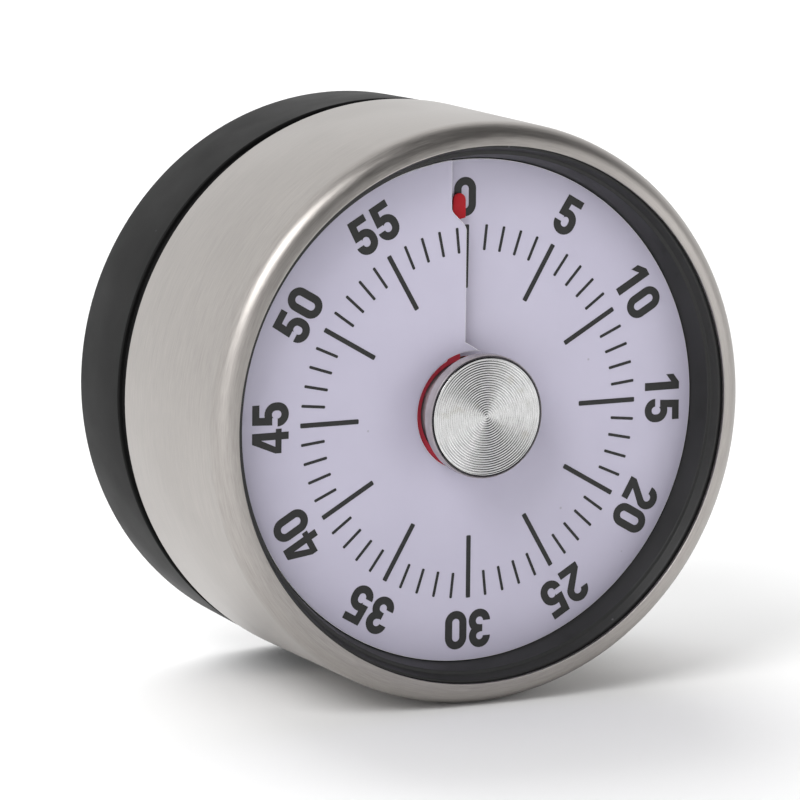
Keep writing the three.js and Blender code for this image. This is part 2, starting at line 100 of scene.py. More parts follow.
class Paint:
    """A procedural material under construction: one Principled shader and what feeds it."""

    def __init__(self, name, **values):
        self.material = bpy.data.materials.new(name)
        self.material.use_nodes = True
        self.tree = self.material.node_tree
        self.shader = self.tree.nodes["Principled BSDF"]
        for socket, value in values.items():
            self.shader.inputs[socket.replace("_", " ")].default_value = value
        self.place = self.node("ShaderNodeTexCoord").outputs["Object"]

    def node(self, kind, inputs=None, **settings):
        """A new node. inputs gives each socket a value or the output that feeds it."""
        made = self.tree.nodes.new(kind)
        for key, value in settings.items():
            setattr(made, key, value)
        for key, value in (inputs or {}).items():
            if isinstance(value, bpy.types.NodeSocket):
                self.tree.links.new(value, made.inputs[key])
            else:
                made.inputs[key].default_value = value
        return made

    def math(self, operation, *values):
        """The result of a Math node on values or outputs."""
        inputs = dict(enumerate(values))
        return self.node("ShaderNodeMath", inputs, operation=operation).outputs[0]

    def noise(self, scale, detail=3.0, roughness=0.5, vector=None):
        """Noise with features about 1 / scale metres across."""
        inputs = {"Vector": vector or self.place, "Scale": scale, "Detail": detail,
                  "Roughness": roughness}
        return self.node("ShaderNodeTexNoise", inputs).outputs["Fac"]

    def spots(self, spacing, size):
        """1 inside scattered dots of about that size, 0 elsewhere; both in metres."""
        voronoi = self.node("ShaderNodeTexVoronoi", {
            "Vector": self.place, "Scale": 1 / spacing, "Randomness": 1.0})
        near = self.ramp(voronoi.outputs["Distance"], size / spacing, 0.6 * size / spacing)
        # each cell's own random number picks about a third of the cells to hold a dot
        picked = self.node("ShaderNodeSeparateColor", {"Color": voronoi.outputs["Color"]})
        return self.math("MULTIPLY", near, self.ramp(picked.outputs[0], 0.62, 0.7))

    def ramp(self, value, low, high, to_low=0.0, to_high=1.0):
        """value mapped from low..high to to_low..to_high, held at the ends."""
        inputs = {"Value": value, "From Min": low, "From Max": high,
                  "To Min": to_low, "To Max": to_high}
        return self.node("ShaderNodeMapRange", inputs, clamp=True).outputs["Result"]

    def mix(self, factor, a, b):
        """Colour a where the factor is 0 and b where it is 1."""
        # a colour Mix node's factor, A and B are sockets 0, 6 and 7, and its result is output 2
        inputs = {0: factor, 6: a, 7: b}
        return self.node("ShaderNodeMix", inputs, data_type="RGBA").outputs[2]

    def feed(self, socket, value):
        """Link an output to one of the shader's sockets."""
        self.tree.links.new(value, self.shader.inputs[socket])

    def bump(self, height, microns):
        """Bump the surface by that depth where the height is 1."""
        inputs = {"Height": height, "Distance": microns * 1e-6, "Strength": 1.0}
        self.feed("Normal", self.node("ShaderNodeBump", inputs).outputs["Normal"])

    def from_axis(self):
        """The x, y and z coordinates, and the distance from the drum's axis."""
        x, y, z = self.node("ShaderNodeSeparateXYZ", {"Vector": self.place}).outputs
        flat = self.node("ShaderNodeCombineXYZ", {0: x, 2: z}).outputs[0]
        radius = self.node("ShaderNodeVectorMath", {0: flat}, operation="LENGTH").outputs[1]
        return x, y, z, self.math("MAXIMUM", radius, 1e-5)

    def round_the_axis(self, along, across):
        """Coordinates for marks that run round the drum's axis: along stretches them."""
        x, y, z, radius = self.from_axis()
        side = self.math("DIVIDE", x, radius)
        up = self.math("DIVIDE", z, radius)
        # a share of the radius keeps the marks fine on faces square to the axis as well
        depth = self.math("ADD", y, self.math("MULTIPLY", radius, 0.83))
        return self.node("ShaderNodeCombineXYZ", {
            0: self.math("MULTIPLY", side, along),
            1: self.math("MULTIPLY", up, along),
            2: self.math("MULTIPLY", depth, across)}).outputs[0]

    def grain_round_the_axis(self):
        """Turn an anisotropic gloss so that its grain runs round the drum's axis."""
        tangent = self.node("ShaderNodeTangent", direction_type="RADIAL", axis="Y")
        self.feed("Tangent", tangent.outputs[0])


def grey(value):
    return (value, value, value, 1)


def brushed_steel():
    """Stainless sheet brushed round the drum, with fine scratches and soft smudges."""
    paint = Paint("shell_brushed_steel", Metallic=1.0, Anisotropic=0.55)
    paint.grain_round_the_axis()
    fine = paint.noise(1.0, 2.0, 0.6, paint.round_the_axis(16.0, 9000.0))
    coarse = paint.noise(1.0, 3.0, 0.55, paint.round_the_axis(6.0, 2900.0))
    smudge = paint.noise(55.0, 3.0)
    brush = paint.math("ADD", paint.math("MULTIPLY", fine, 0.6),
                       paint.math("MULTIPLY", coarse, 0.4))
    steel = paint.mix(paint.ramp(brush, 0.34, 0.66), (0.335, 0.315, 0.30, 1),
                      (0.435, 0.41, 0.39, 1))
    paint.feed("Base Color", paint.mix(paint.ramp(smudge, 0.45, 0.75, 0.0, 0.22), steel,
                                       (0.35, 0.333, 0.32, 1)))
    rough = paint.ramp(brush, 0.3, 0.7, 0.31, 0.45)
    paint.feed("Roughness", paint.math("ADD", rough, paint.ramp(smudge, 0.4, 0.7, -0.02, 0.05)))
    y = paint.from_axis()[1]
    deeper = paint.ramp(y, -0.0462, -0.0490, 1.0, 2.6)      # towards the lip
    paint.bump(paint.math("MULTIPLY", brush, deeper), 8)
    return paint.material


def black_plastic(name, tone, rough, gloss):
    """Satin moulded plastic: fine spark texture, faint flow marks and specks of dust."""
    paint = Paint(name, Metallic=0.0, Specular_IOR_Level=gloss)
    cloud = paint.noise(90.0, 3.0)
    grain = paint.noise(5200.0, 2.0)
    base = paint.mix(paint.ramp(cloud, 0.35, 0.65), grey(tone), grey(tone * 1.25))
    specks = paint.spots(0.0036, 0.0002)
    base = paint.mix(paint.math("MULTIPLY", specks, 0.4), base, (0.20, 0.20, 0.21, 1))
    paint.feed("Base Color", base)
    paint.feed("Roughness", paint.ramp(cloud, 0.3, 0.7, rough - 0.05, rough + 0.08))
    paint.bump(grain, 10)
    return paint.material


def dial_card(name, low, high):
    """Matt plastic sheet with a cool cast, faint mottling and a few specks."""
    paint = Paint(name, Metallic=0.0, Specular_IOR_Level=0.35)
    cloud = paint.noise(70.0, 3.0)
    base = paint.mix(paint.ramp(cloud, 0.35, 0.65), low, high)
    specks = paint.spots(0.0050, 0.00022)
    paint.feed("Base Color", paint.mix(paint.math("MULTIPLY", specks, 0.5), base,
                                       (0.30, 0.29, 0.33, 1)))
    paint.feed("Roughness", paint.ramp(paint.noise(300.0), 0.3, 0.7, 0.46, 0.6))
    paint.bump(paint.noise(2600.0, 3.0), 8)
    return paint.material


def dial_ink():
    """Black print, a little patchy."""
    paint = Paint("dial_ink", Metallic=0.0, Specular_IOR_Level=0.38)
    patchy = paint.noise(900.0, 4.0, 0.6)
    paint.feed("Base Color", paint.mix(paint.ramp(patchy, 0.4, 0.75), grey(0.011), grey(0.019)))
    paint.feed("Roughness", paint.ramp(patchy, 0.3, 0.7, 0.30, 0.45))
    paint.bump(paint.noise(4000.0, 2.0), 6)
    return paint.material


def disc_red():
    """Red plastic sheet, painted paler round the hub: painted light that lifts the knob's shade
    there.
    """
    paint = Paint("disc_red", Metallic=0.0, Specular_IOR_Level=0.2)
    cloud = paint.noise(400.0, 4.0)
    base = paint.mix(paint.ramp(cloud, 0.35, 0.7), (0.37, 0.004, 0.010, 1),
                     (0.44, 0.008, 0.018, 1))
    radius = paint.from_axis()[3]
    # painted light: paler red near the hub, where the knob's shade falls
    painted_hub_light = paint.ramp(radius, 0.0105, 0.0090)
    paint.feed("Base Color", paint.mix(painted_hub_light, base, (0.66, 0.06, 0.09, 1)))
    paint.feed("Roughness", paint.ramp(cloud, 0.3, 0.7, 0.38, 0.5))
    paint.bump(paint.noise(2600.0, 2.0), 6)
    return paint.material


def clear_plastic():
    """Moulded plastic, milky down the sides, with painted shade: a thin clear ring beside the
    cap coloured near-black.
    """
    paint = Paint("knob_clear", Metallic=0.0, IOR=1.49)
    _, y, _, radius = paint.from_axis()
    at_top = paint.ramp(y, -(KNOB_TOP - 0.6) * MM, -(KNOB_TOP - 0.3) * MM)
    # the ring beside the cap: clearer, and coloured near-black below as painted shade
    rim = paint.math("MULTIPLY", at_top,
                     paint.ramp(radius, (CAP_R + 0.34) * MM, (CAP_R + 0.26) * MM))
    paint.feed("Transmission Weight", paint.ramp(rim, 0, 1, 0.08, 0.6))
    haze = paint.noise(240.0, 4.0)
    body = paint.mix(paint.ramp(haze, 0.4, 0.7), (0.40, 0.36, 0.385, 1), (0.27, 0.24, 0.26, 1))
    # painted shade: near-black colour in the ring beside the cap, standing in for the dark seen
    # through it
    paint.feed("Base Color", paint.mix(rim, body, (0.10, 0.09, 0.11, 1)))
    paint.feed("Roughness", paint.ramp(haze, 0.35, 0.7, 0.05, 0.14))
    return paint.material


def spun_aluminium():
    """Bright aluminium turned in fine rings, with a few dull touches."""
    paint = Paint("cap_spun_aluminium", Metallic=1.0, Anisotropic=0.6)
    paint.grain_round_the_axis()
    lines = paint.noise(1.0, 2.0, 0.6, paint.round_the_axis(3.0, 26000.0))
    touch = paint.noise(420.0, 3.0)
    base = paint.mix(paint.ramp(lines, 0.35, 0.65), grey(0.46), grey(0.70))
    paint.feed("Base Color", paint.mix(paint.ramp(touch, 0.62, 0.72, 0.0, 0.5), base,
                                       (0.46, 0.45, 0.41, 1)))
    paint.feed("Roughness", paint.ramp(lines, 0.3, 0.7, 0.10, 0.18))
    paint.bump(lines, 3)
    return paint.material


def worked_metal(name, low, high, rough, grain=1800.0):
    """Stamped or turned metal inside the movement: light tarnish, draw marks, wiped oil."""
    paint = Paint(name, Metallic=1.0)
    tarnish = paint.noise(260.0, 4.0)
    marks = paint.noise(grain, 3.0, 0.6)
    paint.feed("Base Color", paint.mix(paint.ramp(tarnish, 0.35, 0.7), high, low))
    paint.feed("Roughness", paint.ramp(marks, 0.3, 0.7, rough - 0.06, rough + 0.1))
    paint.bump(marks, 4)
    return paint.material


def ferrite():
    """Dull sintered magnet with a few rubbed patches."""
    paint = Paint("magnet_ferrite", Metallic=0.0)
    grain = paint.noise(1500.0, 4.0, 0.65)
    base = paint.mix(paint.ramp(grain, 0.35, 0.7), grey(0.050), grey(0.085))
    scuffs = paint.ramp(paint.noise(160.0, 5.0, 0.7), 0.56, 0.62)
    paint.feed("Base Color", paint.mix(paint.math("MULTIPLY", scuffs, 0.35), base, grey(0.16)))
    paint.feed("Roughness", paint.ramp(grain, 0.3, 0.7, 0.5, 0.68))
    paint.bump(grain, 12)
    return paint.material


STEEL_PAINT = brushed_steel()
COVER_PAINT = black_plastic("rear_cover_black", 0.0055, 0.5, 0.11)
SURROUND_PAINT = black_plastic("surround_black", 0.020, 0.42, 0.3)
CARD = dial_card("dial_white", (0.55, 0.525, 0.65, 1), (0.575, 0.55, 0.675, 1))
# painted highlight: near-white colour for the dial's cut edges, standing in for light caught
# along them
CUT_EDGE_HIGHLIGHT = dial_card("dial_cut_edge_highlight", (0.92, 0.91, 0.94, 1), (0.95, 0.94, 0.97, 1))
INK_PAINT = dial_ink()
RED = disc_red()
CLEAR = clear_plastic()
ALUMINIUM = spun_aluminium()
BRASS = worked_metal("movement_brass", (0.50, 0.34, 0.13, 1), (0.70, 0.52, 0.23, 1), 0.3)
ZINC = worked_metal("movement_zinc_steel", (0.42, 0.42, 0.41, 1), (0.60, 0.60, 0.59, 1), 0.3)
NICKEL = worked_metal("bell_nickel", (0.52, 0.51, 0.48, 1), (0.68, 0.67, 0.65, 1), 0.16, 900.0)
FERRITE = ferrite()


# ---- Mesh helpers --------------------------------------------------------------------------

WELD = 1e-5                           # points closer than this, in millimetres, are one
SHARP = 30                            # edges that turn by more degrees than this look sharp
REPLACED = set()                      # CAD nodes that a finer piece stands for


def piece(name, bm, material, body, replaced=(), sharp=SHARP):
    """A finished piece from a bmesh in clock millimetres."""
    bmesh.ops.remove_doubles(bm, verts=bm.verts, dist=WELD)
    bmesh.ops.recalc_face_normals(bm, faces=bm.faces)
    for vert in bm.verts:
        vert.co = to_frame(*vert.co)
    mesh = bpy.data.meshes.new(name)
    bm.to_mesh(mesh)
    bm.free()
    mesh.shade_smooth()
    mesh.set_sharp_from_angle(angle=math.radians(sharp))
    mesh.materials.append(material)
    made = bpy.data.objects.new(name, mesh)
    bpy.context.scene.collection.objects.link(made)
    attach(made, body)
    if replaced:
        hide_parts(*replaced)
        REPLACED.update(replaced)
    return made


def rounded(points):
    """A closed outline of (a, b, fillet) points with each corner rounded by its fillet."""
    outline = []
    count = len(points)
    for i, (a, b, *rest) in enumerate(points):
        fillet = rest[0] if rest else 0
        here = Vector((a, b))
        if not fillet:
            outline.append((a, b))
            continue
        to_before = (Vector(points[i - 1][:2]) - here).normalized()
        to_after = (Vector(points[(i + 1) % count][:2]) - here).normalized()
        half = to_before.angle(to_after) / 2
        reach = fillet / math.tan(half)
        centre = here + (to_before + to_after).normalized() * (fillet / math.sin(half))
        start = here + to_before * reach - centre
        sweep = start.angle_signed(here + to_after * reach - centre)
        steps = max(2, round(math.degrees(abs(sweep)) / 15))
        for step in range(steps + 1):
            angle = -sweep * step / steps
            swung = Vector((start.x * math.cos(angle) - start.y * math.sin(angle),
                            start.x * math.sin(angle) + start.y * math.cos(angle)))
            outline.append(tuple(centre + swung))
    return outline


def lathe(bm, outline, segments, at):
    """Turn a closed outline of (radius, height) points round an axis parallel to Z."""
    rings = []
    for radius, height in outline:
        if radius < 1e-6:
            rings.append([bm.verts.new((at[0], at[1], height))] * segments)
            continue
        rings.append([bm.verts.new((at[0] + radius * math.cos(TURN * k / segments),
                                    at[1] + radius * math.sin(TURN * k / segments), height))
                      for k in range(segments)])
    for ring, following in zip(rings, rings[1:] + rings[:1]):
        for k in range(segments):
            corners = [ring[k], ring[k - 1], following[k - 1], following[k]]
            unique = list(dict.fromkeys(corners))
            if len(unique) > 2:
                bm.faces.new(unique)


def turned(name, outline, material, body, replaced, segments, at=(0, 0)):
    """A turned piece from an outline of (radius, height, fillet) points."""
    bm = bmesh.new()
    lathe(bm, rounded(outline), segments, at)
    return piece(name, bm, material, body, replaced)


def prism(bm, outline, low, high):
    """Extrude a closed flat outline of (x, y) points between two heights."""
    bottom = [bm.verts.new((x, y, low)) for x, y in outline]
    top = [bm.verts.new((x, y, high)) for x, y in outline]
    bm.faces.new(bottom[::-1])
    bm.faces.new(top)
    for k in range(len(outline)):
        bm.faces.new([bottom[k - 1], bottom[k], top[k], top[k - 1]])


def combine(target, cutters, operation="DIFFERENCE"):
    """Cut a bmesh of closed shapes that don't overlap, in clock millimetres, out of a piece, or
    join it on."""
    for vert in cutters.verts:
        vert.co = to_frame(*vert.co)
    bmesh.ops.recalc_face_normals(cutters, faces=cutters.faces)
    mesh = bpy.data.meshes.new("cutter")
    cutters.to_mesh(mesh)
    cutters.free()
    tool = bpy.data.objects.new("cutter", mesh)
    bpy.context.scene.collection.objects.link(tool)
    boolean = target.modifiers.new("cut", "BOOLEAN")
    boolean.operation, boolean.solver, boolean.object = operation, "EXACT", tool
    graph = bpy.context.evaluated_depsgraph_get()
    result = bpy.data.meshes.new_from_object(target.evaluated_get(graph))
    target.modifiers.clear()
    target.data = result
    result.shade_smooth()
    result.set_sharp_from_angle(angle=math.radians(SHARP))
    bpy.data.objects.remove(tool)


def rods(places, radius, low, high):
    """Plain rods parallel to the axis, as a bmesh."""
    bm = bmesh.new()
    for at in places:
        lathe(bm, [(0, low), (radius, low), (radius, high), (0, high)], 48, at)
    return bm


def polar(radius, degrees):
    """The point at that angle, counted from the x axis towards y."""
    return (radius * math.cos(math.radians(degrees)), radius * math.sin(math.radians(degrees)))


# ---- Camera, light and floor ---------------------------------------------------------------

def camera():
    """A long lens that looks at the dial from its left and a little above."""
    azimuth, elevation, roll = math.radians(-26.46), math.radians(9.72), math.radians(0.5)
    distance, lens = 728.9 * MM, 235.2
    aim = Vector((-0.9, -24.8, -1.5)) * MM
    back = Vector((math.sin(azimuth) * math.cos(elevation),
                   -math.cos(azimuth) * math.cos(elevation), math.sin(elevation)))
    data = bpy.data.cameras.new("camera")
    data.lens, data.sensor_width = lens, 36.0
    data.clip_start, data.clip_end = 0.01, 20.0
    made = bpy.data.objects.new("camera", data)
    bpy.context.scene.collection.objects.link(made)
    made.location = aim + back * distance
    made.rotation_mode = "QUATERNION"
    upright = (-back).to_track_quat("-Z", "Y")
    made.rotation_quaternion = Quaternion(back, roll) @ upright
    bpy.context.scene.camera = made


def softbox(name, direction, distance, size, power, mirrored=True):
    """A square area light that faces the middle of the drum."""
    middle = (cad_low + cad_high) / 2
    data = bpy.data.lights.new(name, "AREA")
    data.shape, data.size, data.energy = "SQUARE", size, power
    made = bpy.data.objects.new(name, data)
    bpy.context.scene.collection.objects.link(made)
    towards = Vector(direction).normalized()
    made.location = middle + towards * distance
    made.rotation_mode = "QUATERNION"
    made.rotation_quaternion = towards.to_track_quat("Z", "Y")
    made.visible_glossy = mirrored


def room():
    """A pale room: even white light that falls off to a darker patch high up in front."""
    world = bpy.data.worlds.new("room")
    world.use_nodes = True
    tree = world.node_tree
    make, link = tree.nodes.new, tree.links.new
    place = make("ShaderNodeTexCoord")
    dark_patch = Vector((0.3, -0.5, 0.81)).normalized()
    towards_dark = make("ShaderNodeVectorMath")
    towards_dark.operation = "DOT_PRODUCT"
    towards_dark.inputs[1].default_value = dark_patch
    link(place.outputs["Generated"], towards_dark.inputs[0])
    tone = make("ShaderNodeMapRange")
    tone.interpolation_type = "SMOOTHSTEP"
    for key, value in (("From Min", 0.3), ("From Max", 0.9), ("To Min", 1.12),
                       ("To Max", 0.08)):
        tone.inputs[key].default_value = value
    link(towards_dark.outputs["Value"], tone.inputs["Value"])
    link(tone.outputs["Result"], tree.nodes["Background"].inputs["Strength"])
    tree.nodes["Background"].inputs["Color"].default_value = (1, 1, 1, 1)
    bpy.context.scene.world = world


def floor():
    """A plain pale floor just under the drum."""
    bm = bmesh.new()
    bmesh.ops.create_grid(bm, x_segments=1, y_segments=1, size=4.0)
    mesh = bpy.data.meshes.new("floor")
    bm.to_mesh(mesh)
    bm.free()
    made = bpy.data.objects.new("floor", mesh)
    made.location.z = cad_low.z - 0.0002
    bpy.context.scene.collection.objects.link(made)
    paint = Paint("floor", Metallic=0.0, Roughness=0.9)
    tone = paint.ramp(paint.noise(3.0), 0.3, 0.7, 0.89, 0.91)
    paint.feed("Base Color", tone)
    mesh.materials.append(paint.material)


def studio():
    """A key light from the upper left, a weak one from the right and one that only lifts the
    floor behind the drum."""
    room()
    floor()
    softbox("key_light", (-1.0, -0.6, 1.1), 1.0, 0.5, 5.0)
    softbox("side_light", (1.2, -1.0, 0.3), 1.0, 0.6, 1.5)
    softbox("backdrop_light", (0.1, 1.0, 1.0), 2.1, 1.6, 32.0, mirrored=False)
    bpy.context.scene.view_settings.view_transform = "Standard"


# ---- Case ----------------------------------------------------------------------------------

SCREW_CIRCLE, PILLAR_CIRCLE = 33.5, 25.2
SCREW_PLACES = [polar(SCREW_CIRCLE, angle) for angle in (90, 210, 330)]
PILLAR_PLACES = [polar(PILLAR_CIRCLE, angle) for angle in (95, 200, 310)]
WALL = 1.7
FLOOR_Z = 38.0                        # rear face of the floor that carries the movement
BOSS_END = 24.5
HEAD_SEAT = 14.0                      # where the case screws' heads bear


def shell():
    """Pressed steel sheet, rolled in at the front to a plain cut lip."""
    inner = CASE_R - SHELL_SHEET
    lip = CASE_R - SHELL_CORNER
    turned("drum_shell", [
        (inner, SEAM_Z, 0.1), (CASE_R, SEAM_Z, 0.14), (CASE_R, FRONT_Z, SHELL_CORNER - 0.02),
        (lip, FRONT_Z, 0.16), (lip, FRONT_Z - SHELL_SHEET, 0.1),
        (inner, FRONT_Z - SHELL_SHEET, SHELL_CORNER - SHELL_SHEET - 0.02),
    ], STEEL_PAINT, "case", ["steel_shell"], segments=256)


def surround():
    """The black ring between dial and lip, in one with the skirt and floor behind it."""
    front = FLOOR_Z + 1.6
    opening = 22.5                    # round the movement's front plate
    well, well_top = 34.6, 43.4       # the straight wall beside the dial's edge
    ring = turned("surround_ring", [
        (opening, FLOOR_Z, 0.2), (INNER_R - WALL, FLOOR_Z, 0.3), (INNER_R - WALL, SKIRT_Z, 0.3),
        (INNER_R, SKIRT_Z, 0.3), (INNER_R, 46.4, 1.2), (38.0, 48.4, 0.6), (36.6, 48.7, 0.3),
        (36.0, 47.45, 0.2), (35.5, 47.4, 0.15), (well, well_top, 0.15), (well, front, 0.3),
        (opening, front, 0.2),
    ], SURROUND_PAINT, "case", ["dial_surround"], segments=256)
    combine(ring, rods(SCREW_PLACES, 3, BOSS_END, FLOOR_Z + 0.5), "UNION")
    combine(ring, rods(SCREW_PLACES, 1.55, BOSS_END - 1, FLOOR_Z - 1))
    combine(ring, rods(PILLAR_PLACES, 1.3, FLOOR_Z - 1, front + 1))


def sound_slots():
    """Cutters for nine radial slots with rounded corners, in three groups between the screws."""
    bm = bmesh.new()
    inner, outer, half, corner = 19.5, 26.5, 1.95, 1.3
    through = 4.0
    outline = rounded([(inner, -half, corner), (outer, -half, corner), (outer, half, corner),
                       (inner, half, corner)])
    for group in (30, 150, 270):
        for offset in (-24, 0, 24):
            x, y = polar(1, group + offset)
            prism(bm, [(a * x - b * y, a * y + b * x) for a, b in outline],
                  COVER_Z - 1, through)
    return bm


def rear_cover():
    """Deep moulded cup: magnet pocket, ring groove, screw tubes and sound slots."""
    shoulder = SEAM_Z - 2.8           # leaves a shadow groove beside the steel's edge
    pocket, pocket_z, inside = 12.8, 4.8, 2.7
    ring_in, ring_out, cut = 30.2, 31.6, 0.3
    inner = INNER_R - WALL
    cover = turned("cover_shell", [
        (0, pocket_z), (pocket, pocket_z, 0.3), (pocket, COVER_Z, 0.35),
        (ring_in, COVER_Z, 0.2), (ring_in + cut, COVER_Z + cut, 0.15),
        (ring_out - cut, COVER_Z + cut, 0.15), (ring_out, COVER_Z, 0.2),
        (COVER_R - 0.42, COVER_Z, 1.7), (COVER_R, shoulder, 0.3), (INNER_R, shoulder, 0.05),
        (INNER_R, SPIGOT_END, 0.4), (inner, SPIGOT_END, 0.3), (inner, inside, 1.0),
        (pocket + WALL, inside, 0.4), (pocket + WALL, pocket_z + WALL, 0.4),
        (0, pocket_z + WALL),
    ], COVER_PAINT, "case", ["rear_cover"], segments=256)
    combine(cover, rods(SCREW_PLACES, 4.2, COVER_Z + 0.5, SPIGOT_END + 0.2), "UNION")
    combine(cover, rods(SCREW_PLACES, 3.0, COVER_Z - 1, HEAD_SEAT))
    combine(cover, rods(SCREW_PLACES, 1.6, HEAD_SEAT - 1, SPIGOT_END + 1))
    combine(cover, sound_slots())


def magnet():
    """The ferrite disc in its drawn steel cup."""
    turned("magnet_disc", [
        (0, 0), (MAGNET_R, 0, 0.35), (MAGNET_R, MAGNET_TOP, 0.2), (0, MAGNET_TOP),
    ], FERRITE, "case", ["magnet"], segments=128)
    inner, base = CUP_R - 1.4, CUP_TOP - 0.7
    turned("magnet_pole_cup", [
        (0, base), (inner, base, 0.25), (inner, CUP_Z, 0.3), (CUP_R, CUP_Z, 0.3),
        (CUP_R, CUP_TOP, 0.8), (0, CUP_TOP),
    ], ZINC, "case", ["magnet_cup"], segments=128)


def cross_recess(at, face):
    """The tapered cross that a screwdriver fits, sunk into a head from the given height."""
    bm = bmesh.new()
    half = 0.24                       # half an arm's width
    rings = []
    for height, reach in ((face - 0.2, 1.57), (face + 1.0, 0.9)):
        arm = [(reach, -half), (reach, half), (half, half)]
        rings.append([bm.verts.new((at[0] + a * x - b * y, at[1] + b * x + a * y, height))
                      for a, b in ((1, 0), (0, 1), (-1, 0), (0, -1)) for x, y in arm])
    outer, inner = rings
    bm.faces.new(outer[::-1])
    bm.faces.new(inner)
    for k in range(len(outer)):
        bm.faces.new([outer[k - 1], outer[k], inner[k], inner[k - 1]])
    return bm


def case_screws():
    """Pan-headed screws, their threads drawn as plain ridges."""
    seat = HEAD_SEAT - 0.3
    head_r, head, shank = 2.6, 1.8, 1.25
    thread_start, thread_pitch, thread_depth, tip = seat + 5.5, 0.8, 0.3, seat + 20
    thread = []
    for turn in range(18):
        z = thread_start + thread_pitch * turn
        thread += [(shank - thread_depth, z), (shank, z + thread_pitch / 2)]
    for i, at in enumerate(SCREW_PLACES, 1):
        made = turned(f"cover_screw_{i}", [
            (0, seat - head), (head_r, seat - head, 0.9), (head_r, seat, 0.12),
            (shank, seat, 0.1), (shank, seat + 5.0), *thread, (0.3, tip), (0, tip),
        ], ZINC, "case", [f"case_screw_{i}"], segments=48, at=at)
        combine(made, cross_recess(at, seat - head))


# ---- Dial ----------------------------------------------------------------------------------

DIAL_HOLE, DIAL_R = 8.2, 34.48
DIAL_ZERO = 43.35                     # the dial sheet's middle height at twelve o'clock
INK = 0.03                            # how far the print stands on the sheet
PRINT_DROP = 0.2                      # the print sits a little low on the sheet
MARK_OUTER, MINUTE_INNER, FIVE_INNER = 25.75, 22.2, 17.05
SLIT_X = -1.2                         # the slit's straight part, left of the zero
NECK_START, NECK_END, NECK_SHIFT = 25.0, 28.4, -2.25
LAP = 1.0                             # how far the lower slit edge reaches under the upper one
DISC_LAP, DISC_NECK_END, DISC_NECK_SHIFT = 0.3, 27.4, -2.7
TONGUE_R, TONGUE_TIP_X = 9.75, 1.18


def swan_neck(radius, end, shift):
    """How far a slit edge has swung aside at a radius: smoothly from 0 to the whole shift."""
    share = min(max((radius - NECK_START) / (end - NECK_START), 0), 1)
    return shift * (share * share * (3 - 2 * share))


def dial_edge(radius):
    """x of the upper slit edge at a radius: straight, with a swan neck out by the numbers and
    a small pointed tongue at the hole."""
    if radius < TONGUE_R:
        share = (TONGUE_R - radius) / (TONGUE_R - DIAL_HOLE)
        return SLIT_X + share * (TONGUE_TIP_X - SLIT_X)
    return SLIT_X + swan_neck(radius, NECK_END, NECK_SHIFT)


def dial_underlap(radius):
    """x of the lower slit edge, which reaches in under the upper one."""
    return SLIT_X - LAP + swan_neck(radius, NECK_END, NECK_SHIFT)


def disc_edge(radius):
    """x of the red disc's edges, which stay out of sight between the two at rest."""
    return SLIT_X - DISC_LAP + swan_neck(radius, DISC_NECK_END, DISC_NECK_SHIFT)


def wound_sheet(radii, start_edge, end_edge, low, hole=None, flare=0):
    """One turn of a thin screw surface whose two ends pass each other at the slit, as a bmesh.
    Its cut edges are chamfered and have material index 1. low is its middle height at twelve
    o'clock, hole gives the innermost radius where that isn't the same all round, and flare is
    how much the outermost one grows over the turn."""
    bm = bmesh.new()
    steps = 240
    sides = []
    for side in (-SHEET / 2, SHEET / 2):
        grid = []
        for radius in radii:
            row = []
            start = math.asin(start_edge(radius) / radius)
            sweep = TURN + math.asin(end_edge(radius) / radius) - start
            for k in range(steps + 1):
                turn = start + sweep * k / steps
                reach = hole(turn) if hole and radius == radii[0] else radius
                if radius == radii[-1]:
                    reach += flare * turn / TURN
                row.append(bm.verts.new((reach * math.sin(turn), reach * math.cos(turn),
                                         low + PITCH * turn / TURN + side)))
            grid.append(row)
        sides.append(grid)
    under, over = sides
    for grid in sides:
        for row, following in zip(grid, grid[1:]):
            for k in range(steps):
                bm.faces.new([row[k], row[k + 1], following[k + 1], following[k]])
    walls = []
    for row in (0, -1):
        for k in range(steps):
            walls.append(bm.faces.new(
                [under[row][k], under[row][k + 1], over[row][k + 1], over[row][k]]))
    for k in (0, -1):
        for row in range(len(radii) - 1):
            walls.append(bm.faces.new(
                [under[row][k], under[row + 1][k], over[row + 1][k], over[row][k]]))
    upper = {vert for row in over for vert in row}
    rim = {edge for wall in walls for edge in wall.edges
           if edge.verts[0] in upper and edge.verts[1] in upper
           and len(set(edge.link_faces) - set(walls)) == 1}
    bmesh.ops.recalc_face_normals(bm, faces=bm.faces)
    for wall in walls:
        wall.material_index = 1
    chamfer = bmesh.ops.bevel(bm, geom=list(rim), offset=0.14, segments=2, affect="EDGES",
                              profile=0.5, clamp_overlap=True)
    for face in chamfer["faces"]:
        face.material_index = 1
    return bm


def spread(low, high, step):
    """Even values from low to high, both included, no further apart than step."""
    count = math.ceil((high - low) / step)
    return [low, *(low + (high - low) * (k + 1) / count for k in range(count))]


def bore(turn):
    """The dial's hole: cut back under the tongue, and closer to the knob below it."""
    if turn > TURN - math.radians(27):
        return DIAL_HOLE + 0.2
    return DIAL_HOLE - 0.7 if turn < math.radians(35) else DIAL_HOLE


def dial():
    """The dial sheet, whose cut edges are painted near-white: a painted highlight along the
    slit.
    """
    radii = [*spread(DIAL_HOLE, TONGUE_R, 0.4), *spread(NECK_START, NECK_END, 0.28), DIAL_R]
    sheet = wound_sheet(radii, dial_underlap, dial_edge, DIAL_ZERO, bore, flare=0.36)
    made = piece("dial_face", sheet, CARD, "case", ["dial_plate"], sharp=40)
    made.data.materials.append(CUT_EDGE_HIGHLIGHT)


def arc(x, y, radius, start, end):
    """Points on an arc between two angles in degrees, both ends included."""
    steps = max(3, round(abs(end - start) / 12))
    return [(x + radius * math.cos(math.radians(start + (end - start) * k / steps)),
             y + radius * math.sin(math.radians(start + (end - start) * k / steps)))
            for k in range(steps + 1)]


